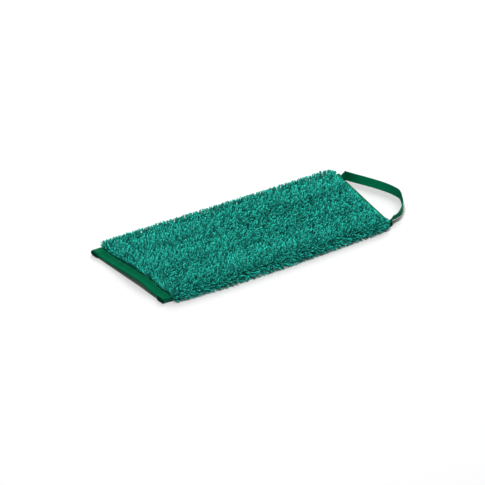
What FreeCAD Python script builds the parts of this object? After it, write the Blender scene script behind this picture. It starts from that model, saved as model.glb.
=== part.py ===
import FreeCAD, Part
import math
import os

# Flat mop pad: a textile pad with a deep twisted-loop pile face, lying on its back with the pile up.
# Frame: +X along the pad towards the end with the pull loop, +Y towards the longer side, +Z up out
# of the pile. The origin is the centre of the backing's flat face. All lengths are millimetres.

# Outline. The cloth lies a little out of square: its front side draws in towards the loop end while
# its back side runs straight, and the back corner of each end lies further out than the front one.
PAD_LENGTH = 320.0
WIDTH_LEFT = 137.0
WIDTH_RIGHT = 126.0
CENTRE_DRIFT = 5.5
END_SLANT = 9.8

# Levels, from the surface that the pad lies on
HEM_BOTTOM = 0.4
HEM_THICKNESS = 1.5
BACKING_THICKNESS = 0.8
CORE_THICKNESS = 1.1
CLOTH_THICKNESS = 0.9
PILE_HEIGHT = 8.7

# Hems and binding
HEM_WIDTH = 14.0
HEM_EDGE_RADIUS = 1.2
TAPE_THICKNESS = 0.5
BINDING_WIDTH = 12.5
BINDING_EDGE_RADIUS = 1.1
BACKING_GAP = 0.5
HEM_SEAM_GAP = 1.0

# Pile
ROW_COUNT = 24
ROW_GAP = 0.25
ROW_CROWN = 2.2
SIDE_ROW_REACH = 4.0
SIDE_ROW_WIDTH = 3.6
SIDE_ROW_FLOOR_GAP = 0.4
SIDE_ROW_BROW_RADIUS = 1.0

# Pull loop
LOOP_WIDTH = 12.0
LOOP_THICKNESS = 1.0
LOOP_ROOT_INSET = 1.5
LOOP_ROOT_GAP = 1.2
LOOP_FLAT_RUN = 3.8
LOOP_TWIST_RUN = 7.0
LOOP_TWIST_STEPS = 8
LOOP_FLOOR_GAP = 0.3
LOOP_SECTION_STEP = 3.0
LOOP_STITCH_GAP = 0.3
TAB_LENGTH = 19.0
# Where the middle of the tape passes: distance out from the pad's end line at its centre, and Y
LOOP_WAYPOINTS = [
    (11.7, 57.8), (13.8, 56.6), (15.4, 54.7), (18.0, 49.6), (20.4, 43.8), (23.4, 34.8), (28.3, 19.6),
    (33.6, 3.5), (35.6, -8.5), (31.5, -23.8), (25.5, -35.8), (17.5, -45.8),
]

# Sewing thread
THREAD_WIDTH = 0.5
THREAD_HEIGHT = 0.3
STITCH_LENGTH = 2.6
STITCH_PITCH = 3.6
SEAM_EDGE_DISTANCE = 2.5
SEAM_END_MARGIN = 4.0
BAR_TACK_STITCHES = 8
BAR_TACK_PITCH = 0.9
BAR_TACK_LENGTH = 9.0

# Modelling: how far a cutting solid reaches past what it cuts, and how exactly an edge is picked
OVERSHOOT = 1.0
TOLERANCE = 0.01

# Worked out from the values above
HALF_LENGTH = PAD_LENGTH / 2
MEAN_HALF_WIDTH = (WIDTH_LEFT + WIDTH_RIGHT) / 4
TAPER = (WIDTH_LEFT - WIDTH_RIGHT) / (2 * PAD_LENGTH)
DRIFT = CENTRE_DRIFT / PAD_LENGTH
SLANT = END_SLANT / (2 * MEAN_HALF_WIDTH)
ROWS_SHARE = 1 - SIDE_ROW_WIDTH / MEAN_HALF_WIDTH
HEM_TOP = HEM_BOTTOM + HEM_THICKNESS
BACKING_TOP = HEM_TOP + BACKING_THICKNESS
CORE_TOP = BACKING_TOP + CORE_THICKNESS
CLOTH_TOP = CORE_TOP + CLOTH_THICKNESS
BINDING_TOP = CLOTH_TOP + TAPE_THICKNESS
PILE_TOP = CLOTH_TOP + PILE_HEIGHT
LEFT, RIGHT = -1, 1
FRONT, BACK = -1, 1
ORIGIN = FreeCAD.Vector(0, 0, 0)
VERTICAL = FreeCAD.Vector(0, 0, 1)


def outline_point(end, side, end_inset=0.0, side_inset=0.0, z=0.0):
    """A point on an end line, inset from that end, where the line at a share of the half width,
    inset from the side, crosses it. A side of 1 is the back edge, -1 the front, 0 the middle."""
    half_length = HALF_LENGTH - end_inset
    offset = side * MEAN_HALF_WIDTH - math.copysign(1, side) * side_inset
    slope = side * TAPER - DRIFT
    x = end * (half_length + SLANT * offset) / (1 + end * SLANT * slope)
    return FreeCAD.Vector(x, offset - slope * x, z)


def layer(bottom, top, lines, side_inset):
    """A flat layer between two lines, each given as an end of the pad and an inset from it."""
    (end_a, inset_a), (end_b, inset_b) = lines
    corners = [
        outline_point(end_a, FRONT, inset_a, side_inset, bottom),
        outline_point(end_b, FRONT, inset_b, side_inset, bottom),
        outline_point(end_b, BACK, inset_b, side_inset, bottom),
        outline_point(end_a, BACK, inset_a, side_inset, bottom),
    ]
    face = Part.Face(Part.makePolygon(corners + corners[:1]))
    return face.extrude(VERTICAL * (top - bottom))


def slab(bottom, top, end_inset=0.0, side_inset=0.0):
    """A layer with the pad's whole outline, inset at its ends and its sides."""
    return layer(bottom, top, [(LEFT, end_inset), (RIGHT, end_inset)], side_inset)


def end_strip(end, bottom, top, outer_inset, inner_inset, side_inset=0.0):
    """The stretch of a layer near one end, between two distances in from that end."""
    return layer(bottom, top, [(end, outer_inset), (end, inner_inset)], side_inset)


def round_edges(solid, radius, wanted):
    """The solid with a fillet on each edge that the test picks."""
    return solid.makeFillet(radius, [edge for edge in solid.Edges if wanted(edge)])


def is_long_side_edge(edge):
    """True for the four outer edges that run along the pad."""
    start, end = [vertex.Point for vertex in edge.Vertexes]
    return abs(end.x - start.x) > PAD_LENGTH / 2


def end_face_edge(end):
    """A test for the two horizontal edges at the outer face of a binding."""
    def wanted(edge):
        points = [vertex.Point for vertex in edge.Vertexes]
        horizontal = abs(points[1].z - points[0].z) < TOLERANCE
        return horizontal and all(is_on_end_line(point, end) for point in points)
    return wanted


def is_on_end_line(point, end):
    return abs(end * point.x - HALF_LENGTH - SLANT * point.y) < TOLERANCE


def single(shape):
    """The one solid that a boolean result holds."""
    return shape.Solids[0] if len(shape.Solids) == 1 else shape


def root_tab(side):
    """The end of the loop's tape, sewn flat to the underside at a corner."""
    end_of_pad = end_strip(RIGHT, HEM_BOTTOM, HEM_BOTTOM + LOOP_THICKNESS, 0.0, TAB_LENGTH)
    middle = root_middle(side)
    low = FreeCAD.Vector(0, middle.y - LOOP_WIDTH / 2, HEM_BOTTOM)
    tape = Part.makeBox(PAD_LENGTH, LOOP_WIDTH, LOOP_THICKNESS, low)
    return single(end_of_pad.common(tape))


def root_middle(side):
    """Where the loop's tape crosses the end line, at mid thickness."""
    inset = LOOP_ROOT_INSET + LOOP_WIDTH / 2
    return outline_point(RIGHT, side, 0.0, inset, HEM_BOTTOM + LOOP_THICKNESS / 2)


def ground_cloth(tabs):
    """The knitted cloth that carries the pile. It wraps both long sides and is turned under."""
    whole = slab(HEM_BOTTOM, CLOTH_TOP, TAPE_THICKNESS, TAPE_THICKNESS)
    whole = round_edges(whole, HEM_EDGE_RADIUS, is_long_side_edge)
    inside = slab(HEM_TOP, CORE_TOP, -OVERSHOOT, TAPE_THICKNESS + CLOTH_THICKNESS)
    opening = slab(HEM_BOTTOM - OVERSHOOT, HEM_TOP, -OVERSHOOT, HEM_WIDTH)
    cloth = whole.cut(inside).cut(opening)
    for strip in lower_flanges():
        cloth = cloth.cut(strip)
    for tab in tabs:
        cloth = cloth.cut(tab)
    return single(cloth)


def lower_flanges():
    """The room that the two bindings' lower flanges take."""
    top = HEM_BOTTOM + TAPE_THICKNESS
    return [
        end_strip(end, HEM_BOTTOM, top, -OVERSHOOT, BINDING_WIDTH, -OVERSHOOT) for end in (LEFT, RIGHT)
    ]


def backing_velour():
    """The velour that grips a holder plate. Its margins lie over the hems, and the rest of it
    stands down past them as one flat face."""
    margin = slab(HEM_TOP, BACKING_TOP, TAPE_THICKNESS, TAPE_THICKNESS + CLOTH_THICKNESS)
    side_inset = HEM_WIDTH + BACKING_GAP
    under_bindings = slab(HEM_BOTTOM + TAPE_THICKNESS, HEM_TOP, TAPE_THICKNESS, side_inset)
    plateau = slab(0.0, HEM_TOP, BINDING_WIDTH + BACKING_GAP, side_inset)
    return single(margin.fuse([under_bindings, plateau]).removeSplitter())


def absorbent_core():
    """The felt between the backing and the ground cloth."""
    return slab(BACKING_TOP, CORE_TOP, TAPE_THICKNESS, TAPE_THICKNESS + CLOTH_THICKNESS)


def binding(end, tabs):
    """A tape folded over one short end of the pad."""
    outer = end_strip(end, HEM_BOTTOM, BINDING_TOP, 0.0, BINDING_WIDTH)
    outer = round_edges(outer, BINDING_EDGE_RADIUS, end_face_edge(end))
    low, high = HEM_BOTTOM + TAPE_THICKNESS, CLOTH_TOP
    inner_inset = BINDING_WIDTH + OVERSHOOT
    inside = end_strip(end, low, high, TAPE_THICKNESS, inner_inset, -OVERSHOOT)
    tape = outer.cut(inside)
    for tab in tabs:
        tape = tape.cut(tab)
    return single(tape)


def row_end_profile(end, low_share, high_share):
    """The outline of a pile row where it meets a binding: upright sides and a rounded crown."""
    gap = ROW_GAP / 2
    inset = BINDING_WIDTH
    middle = outline_point(end, (low_share + high_share) / 2, inset, 0.0, PILE_TOP)
    feet = [outline_point(end, share, inset, 0.0, CLOTH_TOP) for share in (low_share, high_share)]
    across = (feet[1] - feet[0]).normalize() * gap
    feet = [feet[0] + across, feet[1] - across]
    rise = VERTICAL * (PILE_HEIGHT - ROW_CROWN)
    shoulders = [foot + rise for foot in feet]
    crown = Part.Arc(shoulders[0], middle, shoulders[1]).toShape()
    return Part.Wire([
        Part.makeLine(feet[0], shoulders[0]),
        crown,
        Part.makeLine(shoulders[1], feet[1]),
        Part.makeLine(feet[1], feet[0]),
    ])


def pile_row(number):
    """One lengthwise row of the pile, on top of the pad."""
    step = 2 * ROWS_SHARE / ROW_COUNT
    low = -ROWS_SHARE + number * step
    profiles = [row_end_profile(end, low, low + step) for end in (LEFT, RIGHT)]
    return Part.makeLoft(profiles, True, True)


def side_row_profile(end, side):
    """The outline of the row that hangs over a long side, down to the surface the pad lies on."""
    foot = HEM_BOTTOM + SIDE_ROW_FLOOR_GAP

    def at(inset, z):
        return outline_point(end, side, BINDING_WIDTH, inset, z)

    def inner(z):
        return outline_point(end, side * ROWS_SHARE, BINDING_WIDTH, 0.0, z)

    toe = at(-SIDE_ROW_REACH / 2, foot)
    belly = at(-SIDE_ROW_REACH, (foot + PILE_TOP) / 2)
    brow = at(-SIDE_ROW_BROW_RADIUS, PILE_TOP - SIDE_ROW_BROW_RADIUS)
    crown = at(SIDE_ROW_WIDTH / 2, PILE_TOP)
    inner_edge = inner(PILE_TOP - ROW_CROWN)
    edges = [Part.Arc(toe, belly, brow).toShape(), Part.Arc(brow, crown, inner_edge).toShape()]
    run = [inner_edge, inner(CLOTH_TOP), at(TAPE_THICKNESS, CLOTH_TOP), at(TAPE_THICKNESS, foot), toe]
    edges += [Part.makeLine(start, stop) for start, stop in zip(run, run[1:])]
    return Part.Wire(edges)


def side_row(side):
    return Part.makeLoft([side_row_profile(end, side) for end in (LEFT, RIGHT)], True, True)


def loop_path():
    """The middle line of the loop's tape in plan, from the back root round to the front root. It
    leaves each root straight out, over the run where the tape still lies flat."""
    out = FreeCAD.Vector(LOOP_FLAT_RUN / 2, 0, 0)
    roots = [level(hinge_point(side)) for side in (BACK, FRONT)]
    leaving, returning = [[root + out * step for step in range(3)] for root in roots]
    way = [FreeCAD.Vector(HALF_LENGTH + reach, y, 0) for reach, y in LOOP_WAYPOINTS]
    curve = Part.BSplineCurve()
    curve.interpolate(leaving + way + returning[::-1])
    return curve


def level(point):
    return FreeCAD.Vector(point.x, point.y, 0)


def hinge_point(side):
    """The loop's root: a point of the hinge line, just clear of the binding."""
    return root_middle(side) + FreeCAD.Vector(LOOP_ROOT_GAP, 0, 0)


def tape_section(centre, tangent, turn):
    """A cross-section of the tape: flat at a turn of 0, standing on its edge at 90 degrees."""
    sideways = VERTICAL.cross(tangent).normalize()
    wide = sideways * math.cos(turn) + VERTICAL * math.sin(turn)
    thin = tangent.cross(wide).normalize() * (LOOP_THICKNESS / 2)
    wide = wide * (LOOP_WIDTH / 2)
    corners = [centre - wide - thin, centre + wide - thin, centre + wide + thin, centre - wide + thin]
    return Part.makePolygon(corners + corners[:1])


def loop_stations(curve):
    """Distances along the path where the tape's section is taken, closest where it twists."""
    length = curve.length()
    standing = LOOP_FLAT_RUN + LOOP_TWIST_RUN
    twist_step = LOOP_TWIST_RUN / LOOP_TWIST_STEPS
    twist = [LOOP_FLAT_RUN + twist_step * number for number in range(LOOP_TWIST_STEPS + 1)]
    root = [0.0] + twist
    count = round((length - 2 * standing) / LOOP_SECTION_STEP)
    step = (length - 2 * standing) / count
    middle = [standing + step * number for number in range(1, count)]
    return root + middle + [length - distance for distance in reversed(root)]


def loop_frame(curve, distance):
    """Centre, direction and turn of the tape at a distance along its path."""
    length = curve.length()
    parameter = curve.parameterAtDistance(distance, curve.FirstParameter)
    past_flat = min(distance, length - distance) - LOOP_FLAT_RUN
    share = min(1.0, max(0.0, past_flat / LOOP_TWIST_RUN))
    turn = share * share * (3 - 2 * share) * math.pi / 2
    flat_z = HEM_BOTTOM + LOOP_THICKNESS / 2
    standing_z = LOOP_FLOOR_GAP + LOOP_WIDTH / 2
    rise = flat_z + (standing_z - flat_z) * math.sin(turn)
    return curve.value(parameter) + VERTICAL * rise, curve.tangent(parameter)[0], turn


def pull_loop():
    """A tape that leaves the back corner flat, stands on its edge round the loop, and lies flat
    again at the front corner, with the same edge outermost at both."""
    curve = loop_path()
    sections = [tape_section(*loop_frame(curve, distance)) for distance in loop_stations(curve)]
    return Part.makeLoft(sections, True, True)


def stitch(centre, angle, length=STITCH_LENGTH):
    """One visible stitch: a short bar of thread lying at an angle to +X."""
    low = FreeCAD.Vector(-length / 2, -THREAD_WIDTH / 2, 0)
    bar = Part.makeBox(length, THREAD_WIDTH, THREAD_HEIGHT, low)
    bar.rotate(ORIGIN, VERTICAL, math.degrees(angle))
    bar.translate(centre)
    return bar


def seam(start, stop):
    """A straight run of evenly spaced stitches between two points."""
    line = stop - start
    angle = math.atan2(line.y, line.x)
    count = int((line.Length - 2 * SEAM_END_MARGIN) / STITCH_PITCH)
    first = (line.Length - (count - 1) * STITCH_PITCH) / 2
    direction = FreeCAD.Vector(line).normalize()
    return [stitch(start + direction * (first + STITCH_PITCH * n), angle) for n in range(count)]


def binding_stitches(end):
    """The seam that holds a binding, seen on its upper and its lower flange."""
    inset = BINDING_WIDTH - SEAM_EDGE_DISTANCE
    bars = []
    for z in (BINDING_TOP, HEM_BOTTOM - THREAD_HEIGHT):
        ends = [outline_point(end, side, inset, 0.0, z) for side in (FRONT, BACK)]
        bars += seam(*ends)
    return Part.makeCompound(bars)


def hem_stitches(side):
    """The seam along the inner edge of a turned-under hem, seen from below."""
    end_inset = BINDING_WIDTH + HEM_SEAM_GAP
    side_inset = HEM_WIDTH - SEAM_EDGE_DISTANCE
    z = HEM_BOTTOM - THREAD_HEIGHT
    ends = [outline_point(end, side, end_inset, side_inset, z) for end in (LEFT, RIGHT)]
    clear_of_tab = FreeCAD.Vector(TAB_LENGTH - BINDING_WIDTH, 0, 0)
    return Part.makeCompound(seam(ends[0], ends[1] - clear_of_tab))


def loop_edge_stitches():
    """The seam that closes the loop's folded tape, along its outer face near the lower edge."""
    curve = loop_path()
    margin = LOOP_FLAT_RUN + LOOP_TWIST_RUN + SEAM_END_MARGIN
    count = int((curve.length() - 2 * margin) / STITCH_PITCH)
    first = (curve.length() - (count - 1) * STITCH_PITCH) / 2
    bars = []
    for number in range(count):
        centre, tangent = loop_frame(curve, first + number * STITCH_PITCH)[:2]
        outward = VERTICAL.cross(tangent).normalize() * (LOOP_THICKNESS / 2 + LOOP_STITCH_GAP)
        drop = VERTICAL * (LOOP_WIDTH / 2 - SEAM_EDGE_DISTANCE)
        bar = stitch(ORIGIN, 0.0)
        bar.rotate(ORIGIN, FreeCAD.Vector(1, 0, 0), -90)
        bar.rotate(ORIGIN, VERTICAL, math.degrees(math.atan2(tangent.y, tangent.x)))
        bar.translate(centre + outward - drop)
        bars.append(bar)
    return Part.makeCompound(bars)


def bar_tack(side):
    """A block of close stitches across a root tab, seen from below."""
    middle = root_middle(side)
    start_x = middle.x - BINDING_WIDTH - HEM_SEAM_GAP
    z = HEM_BOTTOM - THREAD_HEIGHT
    centres = [
        FreeCAD.Vector(start_x - BAR_TACK_PITCH * n, middle.y, z) for n in range(BAR_TACK_STITCHES)
    ]
    return Part.makeCompound([stitch(c, math.pi / 2, BAR_TACK_LENGTH) for c in centres])


def build():
    tabs = {side: root_tab(side) for side in (FRONT, BACK)}
    nodes = {
        "ground_cloth": ground_cloth(tabs.values()),
        "backing_velour": backing_velour(),
        "absorbent_core": absorbent_core(),
        "binding_left": binding(LEFT, []),
        "binding_right": binding(RIGHT, tabs.values()),
        "binding_stitches_left": binding_stitches(LEFT),
        "binding_stitches_right": binding_stitches(RIGHT),
        "hem_stitches_front": hem_stitches(FRONT),
        "hem_stitches_back": hem_stitches(BACK),
        "loop_root_front": tabs[FRONT],
        "loop_root_back": tabs[BACK],
        "bar_tack_front": bar_tack(FRONT),
        "bar_tack_back": bar_tack(BACK),
        "pile_side_row_front": side_row(FRONT),
        "pile_side_row_back": side_row(BACK),
        "pull_loop": pull_loop(),
        "loop_edge_stitches": loop_edge_stitches(),
    }
    for number in range(ROW_COUNT):
        nodes["pile_row_%02d" % (number + 1)] = pile_row(number)
    return nodes


os.makedirs("parts", exist_ok=True)
for name, shape in build().items():
    shape.exportStep("parts/%s.step" % name)
    print(name, shape.ShapeType, len(shape.Solids), round(shape.Volume, 1), shape.isValid())
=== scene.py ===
import math

import bpy
import numpy as np
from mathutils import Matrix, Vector


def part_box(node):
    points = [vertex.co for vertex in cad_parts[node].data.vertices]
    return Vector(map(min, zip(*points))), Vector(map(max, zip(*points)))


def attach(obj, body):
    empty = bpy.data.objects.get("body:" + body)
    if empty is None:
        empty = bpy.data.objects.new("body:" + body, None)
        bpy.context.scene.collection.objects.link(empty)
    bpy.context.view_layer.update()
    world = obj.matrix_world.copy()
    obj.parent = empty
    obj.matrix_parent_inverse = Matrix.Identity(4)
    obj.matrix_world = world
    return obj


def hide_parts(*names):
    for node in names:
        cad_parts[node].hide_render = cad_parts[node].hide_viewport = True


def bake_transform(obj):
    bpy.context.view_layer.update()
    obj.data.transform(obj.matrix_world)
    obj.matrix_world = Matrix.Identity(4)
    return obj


# A textile flat mop pad, lying on its back with the twisted-loop pile up. Everything is in metres,
# in the CAD frame: +X towards the pull loop, +Y towards the longer side, +Z up out of the pile.

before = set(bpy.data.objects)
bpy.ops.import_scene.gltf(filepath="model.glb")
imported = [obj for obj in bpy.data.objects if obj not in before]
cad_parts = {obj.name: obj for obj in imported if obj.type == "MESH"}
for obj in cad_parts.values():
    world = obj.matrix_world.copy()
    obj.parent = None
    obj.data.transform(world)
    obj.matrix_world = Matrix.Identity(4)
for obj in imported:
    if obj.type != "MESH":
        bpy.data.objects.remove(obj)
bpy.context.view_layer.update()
MM = 0.001
RANDOM = np.random.default_rng(7)
LEFT, RIGHT = -1, 1
FRONT, BACK = -1, 1

# ---------------------------------------------------------------- the pad's plan, from the frame


def node_points(node):
    """The corners of a CAD node's mesh."""
    return np.array([vertex.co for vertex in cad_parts[node].data.vertices])


def plan_corner(node, toward_x, toward_y):
    """The corner of a node that lies furthest in a diagonal direction, as (x, y)."""
    points = node_points(node)
    return points[np.argmax(points[:, 0] * toward_x + points[:, 1] * toward_y), :2]


CORNER = {
    (LEFT, FRONT): plan_corner("binding_left", LEFT, FRONT),
    (LEFT, BACK): plan_corner("binding_left", LEFT, BACK),
    (RIGHT, FRONT): plan_corner("binding_right", RIGHT, FRONT),
    (RIGHT, BACK): plan_corner("binding_right", RIGHT, BACK),
}
HALF_LEFT = (CORNER[LEFT, BACK][1] - CORNER[LEFT, FRONT][1]) / 2
HALF_RIGHT = (CORNER[RIGHT, BACK][1] - CORNER[RIGHT, FRONT][1]) / 2
CENTRE_Y = {end: (CORNER[end, FRONT][1] + CORNER[end, BACK][1]) / 2 for end in (LEFT, RIGHT)}
END_X = {end: (CORNER[end, FRONT][0] + CORNER[end, BACK][0]) / 2 for end in (LEFT, RIGHT)}
LENGTH = END_X[RIGHT] - END_X[LEFT]
BINDING_WIDTH = plan_corner("binding_left", 1, FRONT)[0] - CORNER[LEFT, FRONT][0]
HEM_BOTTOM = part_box("binding_left")[0].z
BINDING_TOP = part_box("binding_left")[1].z
CLOTH_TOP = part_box("ground_cloth")[1].z
CORE_BOTTOM, CORE_TOP = [corner.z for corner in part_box("absorbent_core")]
PILE_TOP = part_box("pile_row_01")[1].z
TAPE = BINDING_TOP - CLOTH_TOP
CLOTH = CLOTH_TOP - CORE_TOP
HEM_WIDTH = 14 * MM
HEM_TOP = HEM_BOTTOM + 1.5 * MM
PILE_HEIGHT = PILE_TOP - CLOTH_TOP
ROW_NODES = sorted(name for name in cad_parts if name.startswith("pile_row_"))
UP = np.array([0.0, 0.0, 1.0])


def pad_point(along, across):
    """Plan position at a share of the length (0 left end, 1 right end) and of the half width
    (-1 front edge, 1 back edge)."""
    along, across = np.broadcast_arrays(np.asarray(along, float), np.asarray(across, float))
    share = ((across + 1) / 2)[..., None]
    left = CORNER[LEFT, FRONT] * (1 - share) + CORNER[LEFT, BACK] * share
    right = CORNER[RIGHT, FRONT] * (1 - share) + CORNER[RIGHT, BACK] * share
    return left + (right - left) * along[..., None]


def half_width(x):
    """Half the pad's width at a place along it."""
    return HALF_LEFT + (HALF_RIGHT - HALF_LEFT) * (x - END_X[LEFT]) / LENGTH


def shares_of(points):
    """The inverse of pad_point for an array of positions."""
    x = points[..., 0]
    centre = CENTRE_Y[LEFT] + (CENTRE_Y[RIGHT] - CENTRE_Y[LEFT]) * (x - END_X[LEFT]) / LENGTH
    across = (points[..., 1] - centre) / half_width(x)
    left = pad_point(np.zeros_like(across), across)[..., 0]
    right = pad_point(np.ones_like(across), across)[..., 0]
    return (points[..., 0] - left) / (right - left), across


def inset_share(along, inset):
    """The share of the half width that lies an inset in from a long side."""
    x = END_X[LEFT] + LENGTH * along
    return 1 - inset / half_width(x)


def smooth(value, low, high):
    """A soft step from 0 at low to 1 at high."""
    share = np.clip((value - low) / (high - low), 0, 1)
    return share * share * (3 - 2 * share)


# ---------------------------------------------------------------- how the soft pad lies

# The plain end arches up off the surface between its two corners: how high it stands, in mm, at
# shares of its width from the back corner to the front corner
ARCH_SHARES = (0.0, 0.12, 0.26, 0.43, 0.60, 0.69, 0.78, 0.89, 1.0)
ARCH_RISES = (0.0, 0.0, 0.5, 1.9, 3.3, 3.7, 1.7, 0.3, 0.0)
ARCH_REACH = 70 * MM
WAVE_HEIGHT = 0.8 * MM
# How far the long sides bow out, in mm, at shares of the pad's length
BOW_SHARES = (0.0, 0.1, 0.25, 0.5, 0.75, 0.92, 1.0)
BOWS = {FRONT: (0.0, 2.6, 4.3, 4.4, 2.8, 1.4, 0.0), BACK: (0.0, 0.2, 0.8, 1.2, 1.4, 2.4, 0.0)}


def lie(points):
    """Where points of the flat pad go as the cloth lies: the plain end arches up, the long sides
    bow out a little, and the top has low waves."""
    points = np.array(points, float)
    along, across = shares_of(points)
    rise = np.interp((1 - across) / 2, ARCH_SHARES, ARCH_RISES) * MM
    arch = rise * (1 - smooth(along * LENGTH, 0, ARCH_REACH))
    inner = 1 - smooth(np.abs(across), 0.75, 1.0)
    wave = np.sin(along * 9.1 + across * 1.7) * np.sin(along * 4.3 - across * 2.2 + 0.6)
    level = smooth(points[..., 2], 0.0, PILE_TOP)
    points[..., 2] += arch + WAVE_HEIGHT * wave * inner * level
    bows = {side: np.interp(along, BOW_SHARES, BOWS[side]) * MM for side in BOWS}
    bow = np.where(across > 0, bows[BACK], bows[FRONT])
    points[..., 1] += bow * across * np.abs(across) ** 3
    return points


# The thick corners of a bound end: their width and how softly they step down to the thin middle,
# how far its underside is above theirs, and how far they swell upwards and outwards
BLOCK_WIDTH = 11.5 * MM
BLOCK_SOFTNESS = 1.6 * MM
THIN_RISE = 1.6 * MM
BLOCK_SWELL = 0.4 * MM
BLOCK_OUT = 1.4 * MM


def hem_block(across, end):
    """1 at the two corners of an end, where the hems turned under make it thick, 0 between them."""
    half = HALF_LEFT if end == LEFT else HALF_RIGHT
    distance = (1 - np.abs(across)) * half
    return 1 - smooth(distance, BLOCK_WIDTH - BLOCK_SOFTNESS, BLOCK_WIDTH + BLOCK_SOFTNESS)


def flange_levels(across, end):
    """The heights of a binding's underside and top across its end: thick at the two corners and
    thin between them."""
    block = hem_block(across, end)
    return HEM_BOTTOM + THIN_RISE * (1 - block), BINDING_TOP + BLOCK_SWELL * block


# ---------------------------------------------------------------- mesh building


def new_object(name, points, faces, material, values=None):
    """A smooth-shaded mesh from arrays of points and quads, with per-point values as attributes."""
    mesh = bpy.data.meshes.new(name)
    faces = np.asarray(faces, np.int32)
    corners = faces.shape[1]
    mesh.vertices.add(len(points))
    mesh.vertices.foreach_set("co", np.asarray(points, np.float32).ravel())
    mesh.loops.add(faces.size)
    mesh.loops.foreach_set("vertex_index", faces.ravel())
    mesh.polygons.add(len(faces))
    mesh.polygons.foreach_set("loop_start", np.arange(len(faces), dtype=np.int32) * corners)
    mesh.polygons.foreach_set("loop_total", np.full(len(faces), corners, np.int32))
    mesh.update(calc_edges=True)
    mesh.polygons.foreach_set("use_smooth", np.ones(len(faces), bool))
    for key, value in (values or {}).items():
        value = np.asarray(value, np.float32)
        kind = "FLOAT" if value.ndim == 1 else "FLOAT_VECTOR"
        attribute = mesh.attributes.new(key, kind, "POINT")
        attribute.data.foreach_set("value" if value.ndim == 1 else "vector", value.ravel())
    mesh.materials.append(material)
    made = bpy.data.objects.new(name, mesh)
    bpy.context.scene.collection.objects.link(made)
    return made


def tube_faces(rings, sides, first=0):
    """Quads between successive rings of points."""
    ring = np.arange(rings - 1)[:, None] * sides
    side = np.arange(sides)[None, :]
    after = (side + 1) % sides
    quads = np.stack([ring + side, ring + after, ring + sides + after, ring + sides + side], -1)
    return quads.reshape(-1, 4) + first


def sweep(sections):
    """A closed tube from an array of sections (section, point, xyz), with a flat fan at each end
    made of quads that meet along the section's middle."""
    count, sides = sections.shape[:2]
    faces = [tube_faces(count, sides)]
    for start, turn in ((0, -1), ((count - 1) * sides, 1)):
        low = np.arange(sides // 2 - 1)
        high = sides - 1 - low
        quads = np.stack([low, low + 1, high - 1, high], -1)[:, ::turn] + start
        faces.append(quads)
    return sections.reshape(-1, 3), np.concatenate(faces)


# ---------------------------------------------------------------- materials


class Nodes:
    """A short way to build a material's node tree."""

    def __init__(self, name, colour, roughness, sheen=0.0, sheen_colour=(1, 1, 1)):
        self.material = bpy.data.materials.new(name)
        self.material.use_nodes = True
        self.tree = self.material.node_tree
        self.shader = self.tree.nodes["Principled BSDF"]
        self.set("Base Color", (*colour, 1))
        self.set("Roughness", roughness)
        self.set("Specular IOR Level", 0.05)
        self.set("Sheen Weight", sheen)
        self.set("Sheen Roughness", 0.45)
        self.set("Sheen Tint", (*sheen_colour, 1))
        self.set("Specular Tint", (*sheen_colour, 1))
        self.material.diffuse_color = (*colour, 1)

    def set(self, socket, value):
        self.shader.inputs[socket].default_value = value

    def add(self, kind, inputs=None, **options):
        node = self.tree.nodes.new(kind)
        for key, value in options.items():
            setattr(node, key, value)
        for key, value in (inputs or {}).items():
            if isinstance(value, bpy.types.NodeSocket):
                self.tree.links.new(value, node.inputs[key])
            else:
                node.inputs[key].default_value = value
        return node

    def attribute(self, name):
        return self.add("ShaderNodeAttribute", attribute_name=name)

    def math(self, operation, first, second=0.0):
        return self.add("ShaderNodeMath", {0: first, 1: second}, operation=operation).outputs[0]

    def noise(self, vector, scale, detail=2.0):
        inputs = {"Vector": vector, "Scale": scale, "Detail": detail}
        return self.add("ShaderNodeTexNoise", inputs).outputs["Fac"]

    def bands(self, vector, scale, distortion, direction):
        inputs = {"Vector": vector, "Scale": scale, "Distortion": distortion, "Detail": 2.0}
        return self.add("ShaderNodeTexWave", inputs, bands_direction=direction).outputs["Fac"]

    def place(self):
        return self.add("ShaderNodeTexCoord").outputs["Object"]

    def ramp(self, factor, stops):
        node = self.add("ShaderNodeValToRGB", {"Fac": factor})
        elements = node.color_ramp.elements
        while len(elements) < len(stops):
            elements.new(0.5)
        for element, (position, colour) in zip(elements, stops):
            element.position = position
            element.color = (*colour, 1)
        return node.outputs["Color"]

    def mix(self, factor, first, second, blend="MIX"):
        node = self.add("ShaderNodeMix", data_type="RGBA", blend_type=blend)
        for key, value in ((0, factor), (6, first), (7, second)):
            if isinstance(value, bpy.types.NodeSocket):
                self.tree.links.new(value, node.inputs[key])
            else:
                node.inputs[key].default_value = value
        return node.outputs[2]

    def colour(self, socket):
        self.tree.links.new(socket, self.shader.inputs["Base Color"])

    def bump(self, height, distance, strength=1.0):
        inputs = {"Height": height, "Distance": distance, "Strength": strength}
        node = self.add("ShaderNodeBump", inputs)
        self.tree.links.new(node.outputs["Normal"], self.shader.inputs["Normal"])


def tone(colour, factor):
    """A lighter or darker tone of a colour."""
    return tuple(min(1.0, channel * factor) for channel in colour)


YARN = (0.002, 0.600, 0.440)
# The dark tone of the painted shade at the loops' roots; the darker filaments use it too
YARN_SHADE_TONE = (0.0005, 0.110, 0.075)
YARN_LIGHT = (0.080, 1.0, 0.80)


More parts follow.
